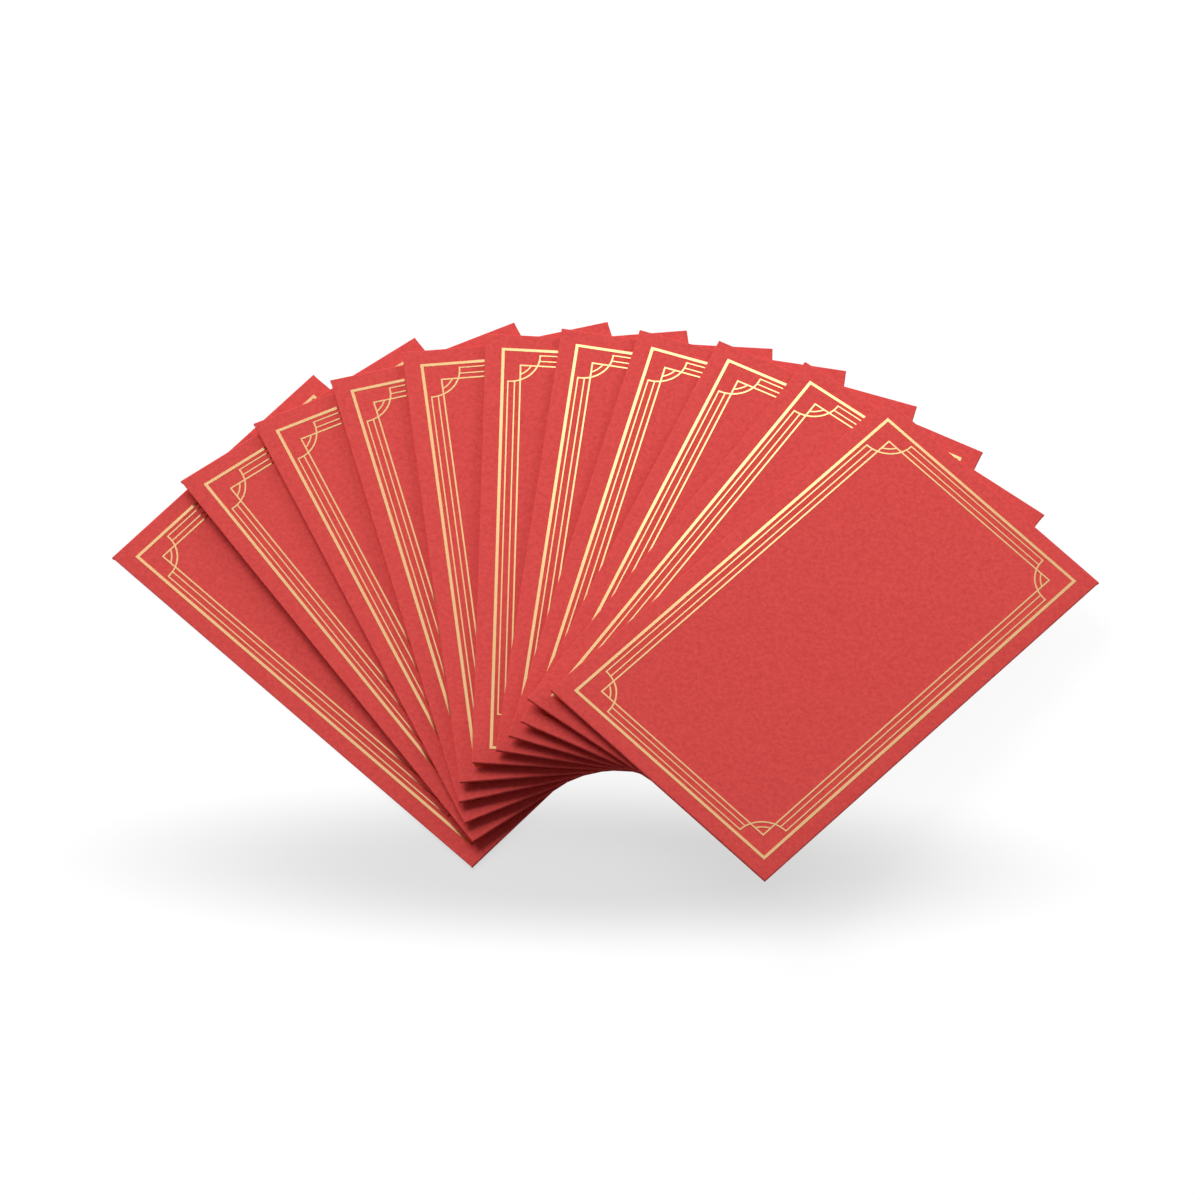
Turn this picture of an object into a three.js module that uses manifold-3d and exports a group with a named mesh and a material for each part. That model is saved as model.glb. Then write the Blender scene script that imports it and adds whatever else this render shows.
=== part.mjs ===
import * as THREE from 'three';
import Module from 'manifold-3d';
import { mergeVertices } from 'three/addons/utils/BufferGeometryUtils.js';

// Fan of identical gift money envelopes lying on a table. Millimetres, +Z up, +Y away from the viewer.
// One envelope is drawn with x to its right, y from the bottom fold to the crease and z from the
// outer face of the closed flap up to the gold lines on the front.

// The fan
const pivotFromLeft = 37;
const pivotBelowBottom = 23.2;
const fanLean = -0.3;
const fanHalfSpread = 39;
const fanBow = 2.07;
const fanFlare = 6.85;
const stackRiseHeight = 3.05;
const rightSideDrop = 2.4;
const farEndDrop = 15.83;

// How far each envelope, from the lowest up, was slipped sideways and turned as it was laid by hand
const laidSlip = [5, 6, 2, -2, -4, -3, 2, 2, 1, -5, -4];
const laidTurnDegrees = [-0.5, 1, 0.5, -0.5, -0.5, -1, 0.5, 0.5, 0.5, -1, 0.5];
const envelopeCount = laidSlip.length;

// One envelope
const envelopeWidth = 100;
const envelopeHeight = 170;
const paperThickness = 0.25;
const layerGap = 0.02;
const flapGap = 0.1;

// Back of the envelope
const sideSeamWidth = 10;
const foldWallWidth = 1.5;
const bottomSeamHeight = 16;
const bottomSeamTaper = 7;
const throatBelowCrease = 8;
const throatDip = 4;
const throatDipWidth = 36;
const throatSegments = 8;

// Closing flap
const flapLength = 36;
const flapBaseInset = 1;
const flapTipInset = 12;
const flapCornerRadius = 10;
const flapCornerSegments = 6;
const creaseSides = 12;
const creaseGap = 0.08;
const flapStraight = 1.5;

// Gold lines, each placed by the distance of its centre from the paper's edge
const foilThickness = 0.08;
const frameLineInset = 6.22;
const frameLineWidth = 1.05;
const outerLineInset = 8.15;
const middleLineInset = 10.45;
const innerLineInset = 12.4;
const thinLineWidth = 0.45;
const innerLineWidth = 0.55;
const cornerArcRadius = 11;
const cornerArcWidth = 0.55;
const apexArcRadius = 9.05;
const apexArcWidth = 0.5;
const arcStepDegrees = 9;

// Finishes
const redPaper = { color: 0xd2504d, roughness: 0.85, metalness: 0 };
const goldFoil = { color: 0xd9a860, roughness: 0.28, metalness: 0.9 };

// Levels of the layers, counted up from the closed flap's outer face
const flapTop = paperThickness;
const backBottom = flapTop + flapGap;
const backTop = backBottom + paperThickness;
const seamTop = backTop + paperThickness;
const frontBottom = seamTop + layerGap;
const frontTop = frontBottom + paperThickness;
const foilBottom = frontTop + layerGap;
const foilTop = foilBottom + foilThickness;
const creaseRadius = frontTop / 2;
const creaseCentre = envelopeHeight - creaseRadius;
const panelTop = envelopeHeight - 2 * creaseRadius - creaseGap;
const halfWidth = envelopeWidth / 2;

const wasm = await Module();
wasm.setup();

// Solid with the outline and holes given as [x, y] points, between two levels
function prism(outline, bottom, top, holes = []) {
  const shape = new THREE.Shape(outline.map(([x, y]) => new THREE.Vector2(x, y)));
  for (const hole of holes) {
    shape.holes.push(new THREE.Path(hole.map(([x, y]) => new THREE.Vector2(x, y))));
  }
  const solid = new THREE.ExtrudeGeometry(shape, { depth: top - bottom, bevelEnabled: false, steps: 1 });
  return solid.translate(0, 0, bottom);
}

function toManifold(geometry) {
  const bare = new THREE.BufferGeometry();
  bare.setAttribute('position', geometry.getAttribute('position').clone());
  const merged = mergeVertices(bare, 1e-5);
  return new wasm.Manifold(new wasm.Mesh({
    numProp: 3,
    vertProperties: new Float32Array(merged.getAttribute('position').array),
    triVerts: new Uint32Array(merged.getIndex().array),
  }));
}

function fromManifold(solid) {
  const mesh = solid.getMesh();
  const geometry = new THREE.BufferGeometry();
  geometry.setAttribute('position', new THREE.BufferAttribute(new Float32Array(mesh.vertProperties), 3));
  geometry.setIndex(new THREE.BufferAttribute(new Uint32Array(mesh.triVerts), 1));
  return geometry.toNonIndexed();
}

function union(geometries) {
  return fromManifold(geometries.map(toManifold).reduce((sum, next) => sum.add(next)));
}

function difference(geometry, cutters) {
  const whole = toManifold(geometry);
  return fromManifold(cutters.map(toManifold).reduce((rest, next) => rest.subtract(next), whole));
}

// Corners of a rectangle set in from the paper's edge by the same distance all round
function insetRectangle(inset) {
  const x = halfWidth - inset;
  return [[-x, inset], [x, inset], [x, envelopeHeight - inset], [-x, envelopeHeight - inset]];
}

function box(left, right, low, high) {
  return [[left, low], [right, low], [right, high], [left, high]];
}

// Front sheet, stopping short of the crease that the flap turns on
function frontPanel() {
  return prism(box(-halfWidth, halfWidth, 0, panelTop), frontBottom, frontTop);
}

// Back sheet with a dipped throat, the seam folded in from the left side, the folds at the right
// side and the bottom, and the tapered bottom seam glued outside
function backPanel() {
  const throat = envelopeHeight - throatBelowCrease;
  const outline = [[-halfWidth, 0], [halfWidth, 0], [halfWidth, throat]];
  for (let k = 0; k <= throatSegments; k++) {
    const across = 1 - 2 * k / throatSegments;
    outline.push([across * throatDipWidth / 2, throat - throatDip * Math.cos(across * Math.PI / 2)]);
  }
  outline.push([-halfWidth, throat]);
  const seamInner = sideSeamWidth - halfWidth;
  const foldInner = halfWidth - foldWallWidth;
  const seams = [[-halfWidth, 0], [halfWidth, 0], [halfWidth, throat], [foldInner, throat],
    [foldInner, foldWallWidth], [seamInner, foldWallWidth], [seamInner, throat], [-halfWidth, throat]];
  const strip = [[-halfWidth, 0], [halfWidth, 0], [halfWidth - bottomSeamTaper, bottomSeamHeight],
    [-halfWidth + bottomSeamTaper, bottomSeamHeight]];
  return union([
    prism(outline, backBottom, backTop),
    prism(seams, backBottom, seamTop),
    prism(strip, 0, backTop),
  ]);
}

// Flap with two rounded corners and the rolled crease that it turns on
function closingFlap() {
  const base = halfWidth - flapBaseInset;
  const tip = halfWidth - flapTipInset;
  const low = envelopeHeight - flapLength;
  const shoulder = creaseCentre - flapStraight;
  const sideAngle = Math.atan2(shoulder - low, base - tip);
  const back = flapCornerRadius / Math.tan((Math.PI - sideAngle) / 2);
  const cornerX = tip - back;
  const outline = [[base, creaseCentre], [base, shoulder]];
  for (let k = 0; k <= flapCornerSegments; k++) {
    const angle = sideAngle * (1 - k / flapCornerSegments) - Math.PI / 2;
    const reach = flapCornerRadius * Math.cos(angle);
    outline.push([cornerX + reach, low + flapCornerRadius * (1 + Math.sin(angle))]);
  }
  const mirrored = outline.map(([x, y]) => [-x, y]).reverse();
  const roll = [];
  const rollRadius = creaseRadius / Math.cos(Math.PI / creaseSides);
  for (let k = 0; k < creaseSides; k++) {
    const angle = (k + 0.5) * 2 * Math.PI / creaseSides;
    roll.push([creaseCentre + rollRadius * Math.cos(angle), creaseRadius + rollRadius * Math.sin(angle)]);
  }
  const crease = prism(roll, -halfWidth, halfWidth);
  crease.applyMatrix4(new THREE.Matrix4().makeBasis(
    new THREE.Vector3(0, 1, 0), new THREE.Vector3(0, 0, 1), new THREE.Vector3(1, 0, 0)));
  return union([prism(outline.concat(mirrored), 0, flapTop), crease]);
}

// Thick gold line all round, with mitred corners
function foilFrame() {
  return prism(insetRectangle(frameLineInset - frameLineWidth / 2), foilBottom, foilTop,
    [insetRectangle(frameLineInset + frameLineWidth / 2).reverse()]);
}

// Points on a circle about the corner of the outer line, in distances from the paper's two edges,
// from one angle to the other in radians
function cornerArc(radius, from, to) {
  const segments = Math.max(1, Math.round(Math.abs(THREE.MathUtils.radToDeg(to - from)) / arcStepDegrees));
  const points = [];
  for (let k = 0; k <= segments; k++) {
    const angle = from + (to - from) * k / segments;
    points.push([outerLineInset + radius * Math.cos(angle), outerLineInset + radius * Math.sin(angle)]);
  }
  return points;
}

// Angle at which such a circle meets the line at the given distance from the side edge
function angleAt(radius, inset) {
  return Math.acos((inset - outerLineInset) / radius);
}

// The circle's part between that line and the same line along the other edge
function arcBetween(radius, inset) {
  const angle = angleAt(radius, inset);
  return cornerArc(radius, angle, Math.PI / 2 - angle);
}

const swapped = (points) => points.map(([x, y]) => [y, x]);
const backwards = (points) => [...points].reverse();
const lowLeft = (points) => points.map(([x, y]) => [x - halfWidth, y]);
const lowRight = (points) => points.map(([x, y]) => [halfWidth - x, y]);
const highLeft = (points) => points.map(([x, y]) => [x - halfWidth, envelopeHeight - y]);
const highRight = (points) => points.map(([x, y]) => [halfWidth - x, envelopeHeight - y]);

// Closed loop from the path through one corner, side edge first
function allCorners(path) {
  return [...lowLeft(path), ...lowRight(backwards(path)), ...highRight(path), ...highLeft(backwards(path))];
}

// Gaps along the four sides between two insets, closed at both ends by the corner arcs
function sideGaps(from, to) {
  const radius = cornerArcRadius + cornerArcWidth / 2;
  const end = cornerArc(radius, angleAt(radius, from), angleAt(radius, to));
  const turned = swapped(end);
  return [
    [...lowLeft(end), ...highLeft(backwards(end))],
    [...lowRight(end), ...highRight(backwards(end))],
    [...lowLeft(turned), ...lowRight(backwards(turned))],
    [...highLeft(turned), ...highRight(backwards(turned))],
  ];
}

// Thin gold lines as one sheet with its gaps cut out: a closed inner rectangle, two lines that end
// on a hollow quarter circle in each corner, and a smaller arc inside each apex of the rectangle
function foilMotif() {
  const thin = thinLineWidth / 2;
  const arcOuter = cornerArcRadius + cornerArcWidth / 2;
  const arcInner = cornerArcRadius - cornerArcWidth / 2;
  const apexOuter = apexArcRadius + apexArcWidth / 2;
  const apexInner = apexArcRadius - apexArcWidth / 2;
  const lineOuter = innerLineInset - innerLineWidth / 2;
  const lineInner = innerLineInset + innerLineWidth / 2;
  const shoulderStart = angleAt(arcInner, outerLineInset - thin);
  const shoulder = cornerArc(arcInner, shoulderStart, angleAt(arcInner, lineOuter));
  const edge = [...shoulder, [lineOuter, lineOuter], ...backwards(swapped(shoulder))];
  const gaps = [
    ...sideGaps(outerLineInset + thin, middleLineInset - thin),
    ...sideGaps(middleLineInset + thin, lineOuter),
    allCorners(arcBetween(arcOuter, lineInner)),
  ];
  const cornerGaps = [
    [...arcBetween(arcInner, lineInner), ...backwards(arcBetween(apexOuter, lineInner))],
    [...arcBetween(apexInner, lineInner), [lineInner, lineInner]],
  ];
  for (const gap of cornerGaps) {
    gaps.push(lowLeft(gap), lowRight(gap), highLeft(gap), highRight(gap));
  }
  const through = foilThickness;
  const cutters = gaps.map((gap) => prism(gap, foilBottom - through, foilTop + through));
  return difference(prism(allCorners(edge), foilBottom, foilTop), cutters);
}

// Place of one envelope: turned about the shared pivot, its right side and its far end lower
function placement(index) {
  const middle = (envelopeCount - 1) / 2;
  const along = (index - middle) / middle;
  const evenHeading = fanLean - fanHalfSpread * along + fanBow * along ** 2 - fanFlare * along ** 3;
  const heading = evenHeading + laidTurnDegrees[index];
  const sideways = halfWidth - pivotFromLeft + laidSlip[index];
  const raised = Math.max(index - 1, 0) / (envelopeCount - 2);
  const tilt = index === 0 ? 0 : Math.atan(rightSideDrop / envelopeWidth);
  const pitch = Math.atan(farEndDrop * raised / (pivotBelowBottom + envelopeHeight));
  const turn = new THREE.Euler(-pitch, tilt, THREE.MathUtils.degToRad(heading), 'ZXY');
  return new THREE.Matrix4().makeTranslation(0, 0, stackRiseHeight * index)
    .multiply(new THREE.Matrix4().makeRotationFromEuler(turn))
    .multiply(new THREE.Matrix4().makeTranslation(sideways, pivotBelowBottom, 0));
}

const pieces = [
  ['front_panel', frontPanel(), redPaper],
  ['back_panel', backPanel(), redPaper],
  ['closing_flap', closingFlap(), redPaper],
  ['foil_frame', foilFrame(), goldFoil],
  ['foil_motif', foilMotif(), goldFoil],
];

// The whole fan, its floor point moved to the centre of its footprint
const fan = new THREE.Group();
fan.name = 'gift_money_envelopes';
const places = Array.from({ length: envelopeCount }, (_, index) => placement(index));
const bounds = new THREE.Box3();
for (const place of places) {
  for (const [, geometry] of pieces) {
    const placed = geometry.clone().applyMatrix4(place);
    placed.computeBoundingBox();
    bounds.union(placed.boundingBox);
  }
}
const centre = bounds.getCenter(new THREE.Vector3());
const toFloor = new THREE.Matrix4().makeTranslation(-centre.x, -centre.y, -bounds.min.z);
places.forEach((place, index) => {
  const number = String(index + 1).padStart(2, '0');
  for (const [name, geometry, finish] of pieces) {
    const placed = geometry.clone().applyMatrix4(toFloor.clone().multiply(place));
    placed.computeVertexNormals();
    const mesh = new THREE.Mesh(placed, new THREE.MeshStandardMaterial(finish));
    mesh.name = `envelope_${number}_${name}`;
    fan.add(mesh);
  }
});

export default fan;
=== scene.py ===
import math
import bpy
import numpy as np
from mathutils import Matrix, Vector


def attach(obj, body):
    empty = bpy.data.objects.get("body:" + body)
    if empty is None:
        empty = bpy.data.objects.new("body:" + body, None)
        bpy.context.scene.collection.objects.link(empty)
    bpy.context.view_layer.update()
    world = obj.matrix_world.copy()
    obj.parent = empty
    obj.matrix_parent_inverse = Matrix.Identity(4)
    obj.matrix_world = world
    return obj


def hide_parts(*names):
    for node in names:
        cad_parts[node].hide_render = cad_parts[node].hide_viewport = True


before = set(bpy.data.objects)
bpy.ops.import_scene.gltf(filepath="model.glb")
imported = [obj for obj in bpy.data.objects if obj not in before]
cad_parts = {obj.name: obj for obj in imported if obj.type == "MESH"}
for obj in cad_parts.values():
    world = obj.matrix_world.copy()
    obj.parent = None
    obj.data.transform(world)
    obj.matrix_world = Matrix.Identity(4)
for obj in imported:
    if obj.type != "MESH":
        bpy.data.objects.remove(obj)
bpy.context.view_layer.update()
print("frame loaded:", len(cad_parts), "nodes")

mm = 0.001
envelopeCount = 11

# One envelope, in millimetres: x to its right, y from the bottom fold to the crease, z up from
# the closed flap's outer face
sleeve = {
    "width": 100,
    "height": 170,
    "paper": 0.25,
    "seamWidth": 10,        # flap folded in from the left side
    "seamEndSlope": 0.35,   # its end falls this much for each millimetre inwards
    "stripHeight": 16,      # flap folded up from the bottom
    "stripTaper": 7,
    "throat": 8,            # the back ends this far below the crease
    "throatDip": 4,
    "throatDipWidth": 36,
    "backClear": 1,         # the back's free edge stops this far short of the left fold
    "bottomClear": 0.3,     # the back and the seam flap start this far above the bottom edge
    "creaseGap": 0.05,      # the front stops this far short of the crease, so that the flap can open flat
    "foldSteps": 7,
}

# Undersides of the layers, and the front's face, above the closed flap's outer face
layers = {"strip": 0, "back": 0.35, "seam": 0.6, "front": 0.87, "face": 1.12}

# Cells of each sheet's grid, across and along, beside those that round its folds
gridCells = {"front": (12, 18), "back": (40, 11), "seam": (2, 11), "strip": (12, 6)}

sheetTolerance = 0.02   # a solid front panel may differ from this sheet by so many millimetres
sharpAngle = 32         # edges that turn by fewer degrees are shaded as round


def placement(index):
    # the envelope's own axes and origin, read off the eight corners of its solid front panel
    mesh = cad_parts[f"envelope_{index + 1:02d}_front_panel"].data
    flat = np.zeros(len(mesh.vertices) * 3, np.float32)
    mesh.vertices.foreach_get("co", flat)
    corners = np.unique(np.round(flat.reshape(-1, 3).astype(float) / mm, 2), axis=0)
    middle = corners.mean(0)
    upward, across = np.linalg.svd(corners - middle)[2][:2]
    upward = upward * np.sign(upward[1])
    across = across * np.sign(across[0])
    outward = np.cross(across, upward)
    reach = (corners - middle) @ upward
    origin = middle + reach.min() * upward - (layers["front"] + layers["face"]) / 2 * outward
    size = np.ptp((corners - middle) @ np.array([across, outward]).T, axis=0)
    expected = [sleeve["width"], layers["face"] - layers["front"]]
    if len(corners) != 8 or abs(size - expected).max() > sheetTolerance:
        raise RuntimeError(f"the front panel of envelope {index + 1} is not the expected sheet")
    return np.array([across, upward, outward]).T, origin


places = [placement(index) for index in range(envelopeCount)]
print("envelopes placed:", len(places))


def toWorld(points, index):
    turn, origin = places[index]
    return (points @ turn.T + origin) * mm


def makeObject(name, parts, index, material):
    # parts are (points, faces) pairs in the envelope's own frame; they become one mesh in place
    points = np.concatenate([p for p, f in parts])
    starts = np.cumsum([0] + [len(p) for p, f in parts])
    faces = [tuple(int(v) + int(s) for v in face) for (p, f), s in zip(parts, starts) for face in f]
    mesh = bpy.data.meshes.new(name)
    mesh.from_pydata(toWorld(points, index).tolist(), [], faces)
    mesh.validate()
    mesh.polygons.foreach_set("use_smooth", [True] * len(mesh.polygons))
    mesh.set_sharp_from_angle(angle=math.radians(sharpAngle))
    mesh.materials.append(material)
    piece = bpy.data.objects.new(name, mesh)
    bpy.context.scene.collection.objects.link(piece)
    return piece


def gridSlab(x, y, top, bottom):
    # two stacked sheets of points, top and bottom, over the same grid, walled round their rim
    rows, columns = x.shape
    points = np.concatenate([np.stack([x, y, top], -1).reshape(-1, 3),
                             np.stack([x, y, bottom], -1).reshape(-1, 3)])
    ids = np.arange(rows * columns).reshape(rows, columns)
    upper = np.stack([ids[:-1, :-1], ids[:-1, 1:], ids[1:, 1:], ids[1:, :-1]], -1).reshape(-1, 4)
    lower = upper[:, ::-1] + rows * columns
    rim = np.concatenate([ids[0, :-1], ids[:-1, -1], ids[-1, :0:-1], ids[:0:-1, 0]])
    after = np.roll(rim, -1)
    wall = np.stack([rim, rim + rows * columns, after + rows * columns, after], -1)
    return points, np.concatenate([upper, lower, wall]).tolist()


def foldDistances(radius):
    # distances from a folded edge at which its round is cut, closer together at the edge
    angles = np.linspace(0, math.pi / 2, sleeve["foldSteps"])
    return radius * (1 - np.cos(angles))


def roundDrop(distance, radius):
    # how far a folded edge's face lies below the flat face: a quarter circle of that radius
    inside = np.clip(radius - distance, 0, radius)
    return radius - np.sqrt(np.maximum(radius ** 2 - inside ** 2, 0))


def gridLines(low, high, lowRadius, highRadius, cells):
    # lines of a grid from low to high, with extra ones at an end that is folded
    lines = [np.linspace(low + lowRadius, high - highRadius, cells + 1)]
    if lowRadius:
        lines.insert(0, low + foldDistances(lowRadius)[:-1])
    if highRadius:
        lines.append(high - foldDistances(highRadius)[:-1][::-1])
    return np.concatenate(lines)


def throatLine(x):
    # the back's upper edge: straight, with a shallow cosine dip in the middle
    dip = np.where(abs(x) < sleeve["throatDipWidth"] / 2,
                   np.cos(x / sleeve["throatDipWidth"] * math.pi), 0)
    return sleeve["height"] - sleeve["throat"] - sleeve["throatDip"] * dip


def frontSheet():
    # flat face whose left, right and bottom edges roll over in quarter circles
    half = sleeve["width"] / 2
    leftRadius = (layers["face"] - layers["seam"]) / 2
    rightRadius = (layers["face"] - layers["back"]) / 2
    bottomRadius = layers["face"] / 2
    end = sleeve["height"] - layers["face"] / 2 - sleeve["creaseGap"]
    across, along = gridCells["front"]
    x, y = np.meshgrid(gridLines(-half, half, leftRadius, rightRadius, across),
                       gridLines(0, end, bottomRadius, 0, along))
    drop = np.maximum(roundDrop(x + half, leftRadius), roundDrop(half - x, rightRadius))
    drop = np.maximum(drop, roundDrop(y, bottomRadius))
    top = layers["face"] - drop
    return gridSlab(x, y, top, np.minimum(layers["front"], top))


def backSheet():
    # hangs from the right fold, stops short of the left one and is cut to the throat
    half = sleeve["width"] / 2
    radius = (layers["face"] - layers["back"]) / 2
    across, along = gridCells["back"]
    x, t = np.meshgrid(gridLines(-half + sleeve["backClear"], half, 0, radius, across),
                       np.linspace(0, 1, along + 1))
    y = sleeve["bottomClear"] + t * (throatLine(x) - sleeve["bottomClear"])
    bottom = layers["back"] + roundDrop(half - x, radius)
    return gridSlab(x, y, np.maximum(layers["back"] + sleeve["paper"], bottom), bottom)


def seamFlap():
    # narrow flap folded in from the left edge, glued between the front and the back
    half = sleeve["width"] / 2
    radius = (layers["face"] - layers["seam"]) / 2
    across, along = gridCells["seam"]
    x, t = np.meshgrid(gridLines(-half, -half + sleeve["seamWidth"], radius, 0, across),
                       np.linspace(0, 1, along + 1))
    end = sleeve["height"] - sleeve["throat"] - sleeve["seamEndSlope"] * (x + half)
    y = sleeve["bottomClear"] + t * (end - sleeve["bottomClear"])
    bottom = layers["seam"] + roundDrop(x + half, radius)
    return gridSlab(x, y, np.maximum(layers["seam"] + sleeve["paper"], bottom), bottom)


def bottomStrip():
    # flap folded up from the bottom edge over the back, its sides tapering in
    half = sleeve["width"] / 2
    radius = layers["face"] / 2
    across, along = gridCells["strip"]
    s, y = np.meshgrid(np.linspace(-1, 1, across + 1),
                       gridLines(0, sleeve["stripHeight"], radius, 0, along))
    x = s * (half - sleeve["stripTaper"] * y / sleeve["stripHeight"])
    bottom = layers["strip"] + roundDrop(y, radius)
    return gridSlab(x, y, np.maximum(layers["back"], bottom), bottom)


# The closing flap, in millimetres
flap = {
    "length": 36,
    "baseInset": 1,
    "tipInset": 12,
    "cornerRadius": 10,
    "straight": 1.5,        # its sides run straight this far below the crease
    "rollSides": 28,
    "rollChamfer": 0.06,
    "cornerCells": 11,
    "acrossCells": 20,
}


def flapSheet():
    # the half width follows an arc at each corner of the tip, then the slanted side
    half = sleeve["width"] / 2
    base = half - flap["baseInset"]
    tip = half - flap["tipInset"]
    low = sleeve["height"] - flap["length"]
    high = sleeve["height"] - layers["face"] / 2
    shoulder = high - flap["straight"]
    sideAngle = math.atan2(shoulder - low, base - tip)
    cornerX = tip - flap["cornerRadius"] / math.tan((math.pi - sideAngle) / 2)
    angles = np.linspace(-math.pi / 2, sideAngle - math.pi / 2, flap["cornerCells"] + 1)
    yEdge = np.concatenate([low + flap["cornerRadius"] * (1 + np.sin(angles)), [shoulder, high]])
    xEdge = np.concatenate([cornerX + flap["cornerRadius"] * np.cos(angles), [base, base]])
    s = np.linspace(-1, 1, flap["acrossCells"] + 1)
    x = s[None, :] * xEdge[:, None]
    y = np.repeat(yEdge[:, None], len(s), 1)
    return gridSlab(x, y, np.full_like(x, sleeve["paper"]), np.zeros_like(x))


def creaseRoll():
    # round fold along the whole top edge: a circle carried from side to side, its ends chamfered
    half = sleeve["width"] / 2
    radius = layers["face"] / 2
    chamfer = flap["rollChamfer"]
    along = np.array([-half, -half + chamfer, half - chamfer, half])
    size = np.array([radius - chamfer, radius, radius, radius - chamfer])
    angles = np.linspace(0, 2 * math.pi, flap["rollSides"], endpoint=False)
    x = np.repeat(along[:, None], len(angles), 1)
    y = sleeve["height"] - radius + size[:, None] * np.cos(angles)
    z = radius + size[:, None] * np.sin(angles)
    points = np.stack([x, y, z], -1).reshape(-1, 3)
    ids = np.arange(points.shape[0]).reshape(x.shape)
    after = np.roll(ids, -1, 1)
    faces = np.stack([ids[:-1], after[:-1], after[1:], ids[1:]], -1).reshape(-1, 4)[:, ::-1].tolist()
    return points, faces + [ids[0].tolist(), ids[-1].tolist()[::-1]]


def linear(text):
    # sRGB hex to the linear values that a shader takes
    value = np.array([int(text[k:k + 2], 16) for k in (1, 3, 5)]) / 255
    value = np.where(value <= 0.04045, value / 12.92, ((value + 0.055) / 1.055) ** 2.4)
    return (*value.tolist(), 1)


def addNode(owner, kind, settings=None, links=None):
    # owner is a material or the world; settings are attributes or socket values, and links are
    # socket: (node, output)
    tree = owner.node_tree
    node = tree.nodes.new(kind)
    for key, value in (settings or {}).items():
        if isinstance(key, str) and hasattr(node, key):
            setattr(node, key, value)
        else:
            node.inputs[key].default_value = value
    for key, (source, output) in (links or {}).items():
        tree.links.new(source.outputs[output], node.inputs[key])
    return node


def newMaterial(name):
    material = bpy.data.materials.new(name)
    material.use_nodes = True
    material.node_tree.nodes.clear()
    return material


paper = {
    "light": "#df453f",
    "dark": "#cc3331",
    "felt": 1.5 * mm,       # spacing of the felt marks, drawn a little coarser than real so that it shows
    "feltDetail": 3.0,
    "feltRoughness": 0.65,
    "feltDepth": 0.075 * mm,
    "fibre": 0.35 * mm,
    "fibreDetail": 2.0,
    "fibreCurl": 0.8,
    "fibreShare": 0.4,      # how much the fibres add to the felt marks
    "darkAt": 0.46,
    "lightAt": 0.88,
    "roughness": 0.8,
    "ior": 1.5,
    "gloss": 0.5,
}


def makePaper():
    # felt-marked uncoated card, dyed through: soft sheen, colour a little uneven from fibre to fibre
    material = newMaterial("feltRedCard")
    place = addNode(material, "ShaderNodeTexCoord")
    felt = addNode(material, "ShaderNodeTexNoise",
                   {"Scale": 1 / paper["felt"], "Detail": paper["feltDetail"],
                    "Roughness": paper["feltRoughness"]},
                   {"Vector": (place, "Object")})
    fibre = addNode(material, "ShaderNodeTexNoise",
                    {"Scale": 1 / paper["fibre"], "Detail": paper["fibreDetail"],
                     "Distortion": paper["fibreCurl"]},
                    {"Vector": (place, "Object")})
    depth = addNode(material, "ShaderNodeMath", {"operation": "MULTIPLY_ADD", 1: paper["fibreShare"]},
                    {0: (fibre, "Fac"), 2: (felt, "Fac")})
    marks = addNode(material, "ShaderNodeValToRGB", None, {"Fac": (depth, "Value")})
    for element, tone in zip(marks.color_ramp.elements, ("dark", "light")):
        element.position = paper[tone + "At"]
        element.color = linear(paper[tone])
    bump = addNode(material, "ShaderNodeBump", {"Strength": 1.0, "Distance": paper["feltDepth"]},
                   {"Height": (depth, "Value")})
    shader = addNode(material, "ShaderNodeBsdfPrincipled",
                     {"Roughness": paper["roughness"], "IOR": paper["ior"],
                      "Specular IOR Level": paper["gloss"]},
                     {"Base Color": (marks, "Color"), "Normal": (bump, "Normal")})
    addNode(material, "ShaderNodeOutputMaterial", None, {"Surface": (shader, "BSDF")})
    return material


foil = {
    "colour": "#d6ae7c",
    "roughness": 0.2,
    "felt": 0.8 * mm,
    "feltDetail": 2.0,
    "feltDepth": 0.008 * mm,
}


def makeFoil():
    # gold hot-stamping foil: a lacquered metal film that takes on a little of the paper's grain
    material = newMaterial("goldStampedFoil")
    place = addNode(material, "ShaderNodeTexCoord")
    felt = addNode(material, "ShaderNodeTexNoise",
                   {"Scale": 1 / foil["felt"], "Detail": foil["feltDetail"]},
                   {"Vector": (place, "Object")})
    bump = addNode(material, "ShaderNodeBump", {"Strength": 1.0, "Distance": foil["feltDepth"]},
                   {"Height": (felt, "Fac")})
    shader = addNode(material, "ShaderNodeBsdfPrincipled",
                     {"Base Color": linear(foil["colour"]), "Metallic": 1.0, "Roughness": foil["roughness"]},
                     {"Normal": (bump, "Normal")})
    addNode(material, "ShaderNodeOutputMaterial", None, {"Surface": (shader, "BSDF")})
    return material


redCard = makePaper()
goldFoil = makeFoil()
print("materials made")

for index in range(envelopeCount):
    number = f"{index + 1:02d}"
    sheets = [frontSheet(), backSheet(), seamFlap(), bottomStrip()]
    body = makeObject(f"sleeve_{number}", sheets, index, redCard)
    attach(body, f"envelope_{number}")
    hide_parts(f"envelope_{number}_front_panel", f"envelope_{number}_back_panel")
    cover = makeObject(f"folded_flap_{number}", [flapSheet(), creaseRoll()], index, redCard)
    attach(cover, f"flap_{number}")
    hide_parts(f"envelope_{number}_closing_flap")
    for name in ("foil_frame", "foil_motif"):
        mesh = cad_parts[f"envelope_{number}_{name}"].data
        mesh.materials.clear()
        mesh.materials.append(goldFoil)
print("envelopes made")

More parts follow.
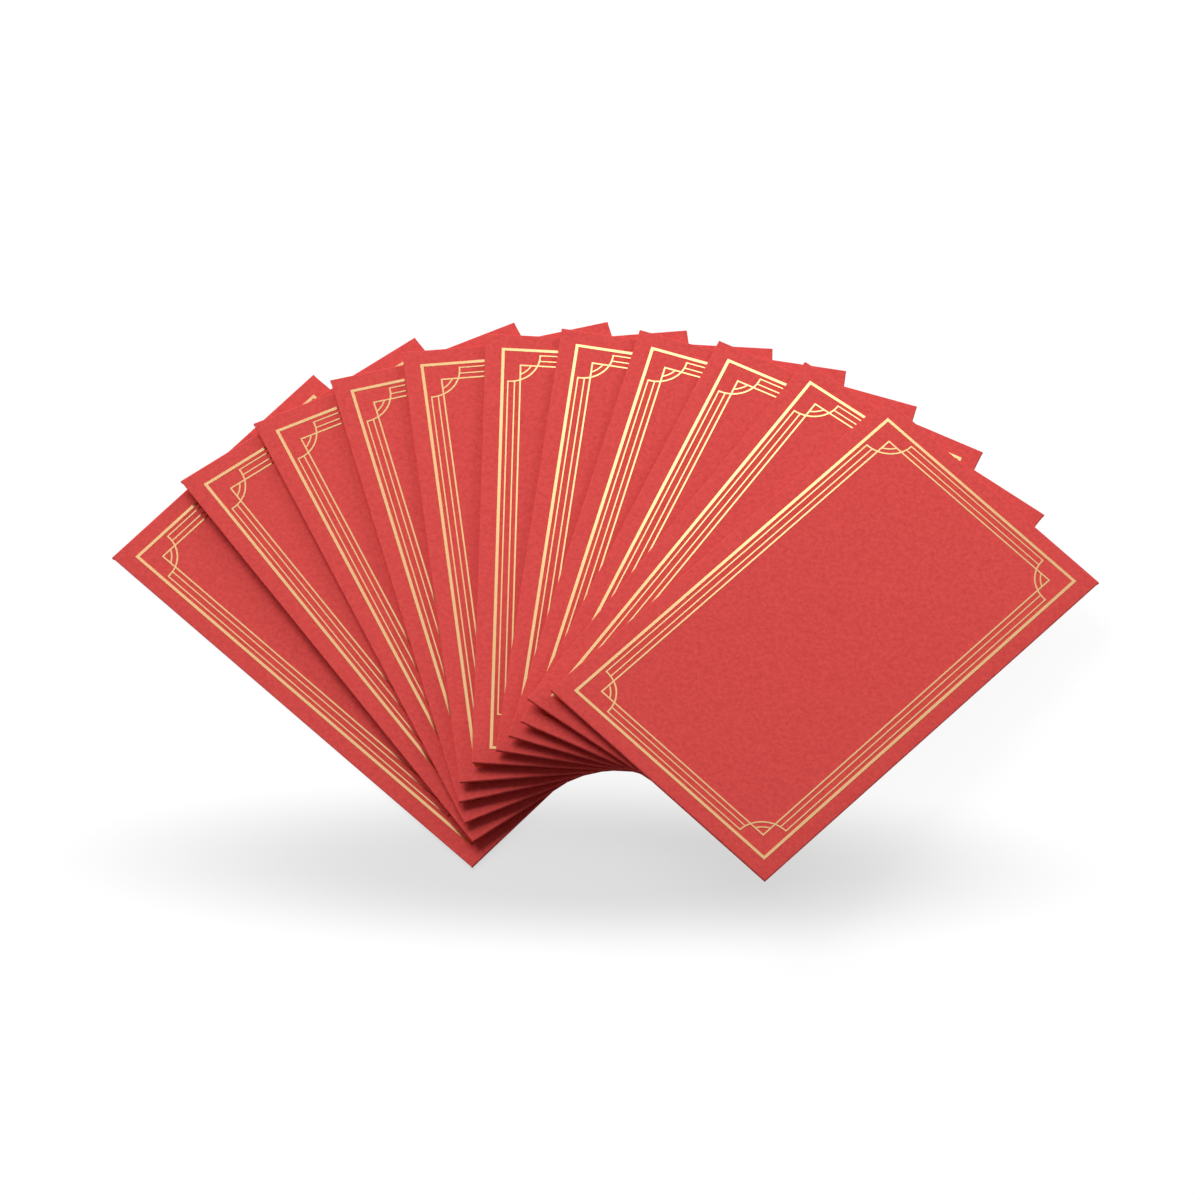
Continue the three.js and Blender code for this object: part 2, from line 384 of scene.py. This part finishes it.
stage = {
    "floorSize": 8,
    "floorDrop": 0.05 * mm,         # keeps the table's face and the underside of the fan apart
    "floorGlow": 0.93,
    "floorColour": "#606060",
    "tableColour": "#e6e6e6",
    "poolDepth": 0.28,              # a soft pool of shadow painted on the floor below the fan
    "poolPlace": (-0.009, -0.095),
    "poolSize": (0.205, 0.0375),
    "poolCore": 0.75,               # full depth from here to its centre
    "keyPower": 49,
    "keySize": (1.6, 1.2),
    "keyPlace": (-1.02, 1.31, 1.44),
    "sidePower": 2.0,
    "sideSize": (0.45, 0.35),
    "sidePlace": (0.55, 0.47, 0.38),
    "sheenPower": 0.23,
    "sheenSize": (0.2, 0.16),
    "sheenPlace": (0.115, 0.42, 0.5),
    "sky": 0.1,
}


def seenDirectly(owner):
    # 1 where the camera, a gloss or a glass looks at it, 0 for all other light
    path = addNode(owner, "ShaderNodeLightPath")
    seen = addNode(owner, "ShaderNodeMath", {"operation": "MAXIMUM"},
                   {0: (path, "Is Camera Ray"), 1: (path, "Is Glossy Ray")})
    return addNode(owner, "ShaderNodeMath", {"operation": "MAXIMUM"},
                   {0: (seen, "Value"), 1: (path, "Is Transmission Ray")})


def makeFloor():
    # looked at, it is white with the fan's own light cast shadow and a soft pool of shadow painted below the
    # fan; for all other light it is a pale table
    material = newMaterial("paleFloor")
    seen = seenDirectly(material)
    table = addNode(material, "ShaderNodeBsdfDiffuse", {"Color": linear(stage["tableColour"])})
    shade = addNode(material, "ShaderNodeBsdfDiffuse", {"Color": linear(stage["floorColour"])})
    place = addNode(material, "ShaderNodeTexCoord")
    # painted shadow: an ellipse below the fan that dims the floor's glow where it is looked at
    pool = addNode(material, "ShaderNodeMapping",
                   {"vector_type": "TEXTURE", "Location": (*stage["poolPlace"], 0),
                    "Scale": (*stage["poolSize"], 1)},
                   {"Vector": (place, "Object")})
    paintedShadowEllipse = addNode(material, "ShaderNodeTexGradient", {"gradient_type": "SPHERICAL"},
                      {"Vector": (pool, "Vector")})
    strength = addNode(material, "ShaderNodeMapRange",
                       {"interpolation_type": "SMOOTHSTEP", "From Min": 0.0, "From Max": stage["poolCore"],
                        "To Min": stage["floorGlow"], "To Max": stage["floorGlow"] - stage["poolDepth"]},
                       {"Value": (paintedShadowEllipse, "Fac")})
    glow = addNode(material, "ShaderNodeEmission", {"Color": (1, 1, 1, 1)},
                   {"Strength": (strength, "Result")})
    white = addNode(material, "ShaderNodeAddShader", None, {0: (shade, "BSDF"), 1: (glow, "Emission")})
    mix = addNode(material, "ShaderNodeMixShader", None,
                  {0: (seen, "Value"), 1: (table, "BSDF"), 2: (white, "Shader")})
    addNode(material, "ShaderNodeOutputMaterial", None, {"Surface": (mix, "Shader")})
    size = stage["floorSize"]
    corners = [(x * size, y * size, -stage["floorDrop"]) for x, y in ((-1, -1), (1, -1), (1, 1), (-1, 1))]
    mesh = bpy.data.meshes.new("floor")
    mesh.from_pydata(corners, [], [(0, 1, 2, 3)])
    mesh.materials.append(material)
    floor = bpy.data.objects.new("floor", mesh)
    bpy.context.scene.collection.objects.link(floor)


def areaLight(name, place, size, power):
    # a rectangle of that size in metres, turned towards the middle of the fan
    data = bpy.data.lights.new(name, "AREA")
    data.shape = "RECTANGLE"
    data.size, data.size_y = size
    data.energy = power
    lamp = bpy.data.objects.new(name, data)
    lamp.location = place
    lamp.rotation_mode = "QUATERNION"
    lamp.rotation_quaternion = (-Vector(place)).to_track_quat("-Z", "Y")
    bpy.context.scene.collection.objects.link(lamp)


makeFloor()
areaLight("key", stage["keyPlace"], stage["keySize"], stage["keyPower"])
areaLight("side", stage["sidePlace"], stage["sideSize"], stage["sidePower"])
areaLight("sheen", stage["sheenPlace"], stage["sheenSize"], stage["sheenPower"])

# White walls round the table where they are looked at or mirrored, and a faint fill otherwise
world = bpy.data.worlds.new("studio")
world.use_nodes = True
world.node_tree.nodes.clear()
wall = addNode(world, "ShaderNodeMapRange", {"To Min": stage["sky"], "To Max": 1.0},
               {"Value": (seenDirectly(world), "Value")})
backdrop = addNode(world, "ShaderNodeBackground", {"Color": (1, 1, 1, 1)}, {"Strength": (wall, "Result")})
addNode(world, "ShaderNodeOutputWorld", None, {"Surface": (backdrop, "Background")})
bpy.context.scene.world = world

# The photograph's view: a long lens, 62 degrees above the table, held a little aslant
view = {
    "elevation": 62.476,
    "azimuth": -4.658,
    "roll": 5.235,
    "distance": 3.0931,
    "aim": (-0.00152, 0.00644, 0),
    "lens": 270,
    "sensor": 36,
    "farthest": 100,
}

camera = bpy.data.objects.new("camera", bpy.data.cameras.new("camera"))
raised = math.radians(view["elevation"])
around = math.radians(view["azimuth"])
backward = Vector((math.sin(around) * math.cos(raised),
                   -math.cos(around) * math.cos(raised),
                   math.sin(raised)))
rightward = Vector((math.cos(around), math.sin(around), 0))
level = Matrix((rightward, backward.cross(rightward), backward)).transposed()
camera.location = Vector(view["aim"]) + view["distance"] * backward
camera.rotation_mode = "QUATERNION"
camera.rotation_quaternion = (level @ Matrix.Rotation(math.radians(view["roll"]), 3, "Z")).to_quaternion()
camera.data.lens = view["lens"]
camera.data.sensor_width = view["sensor"]
camera.data.clip_end = view["farthest"]
bpy.context.scene.collection.objects.link(camera)
bpy.context.scene.camera = camera
bpy.context.scene.view_settings.view_transform = "Standard"
print("stage made")
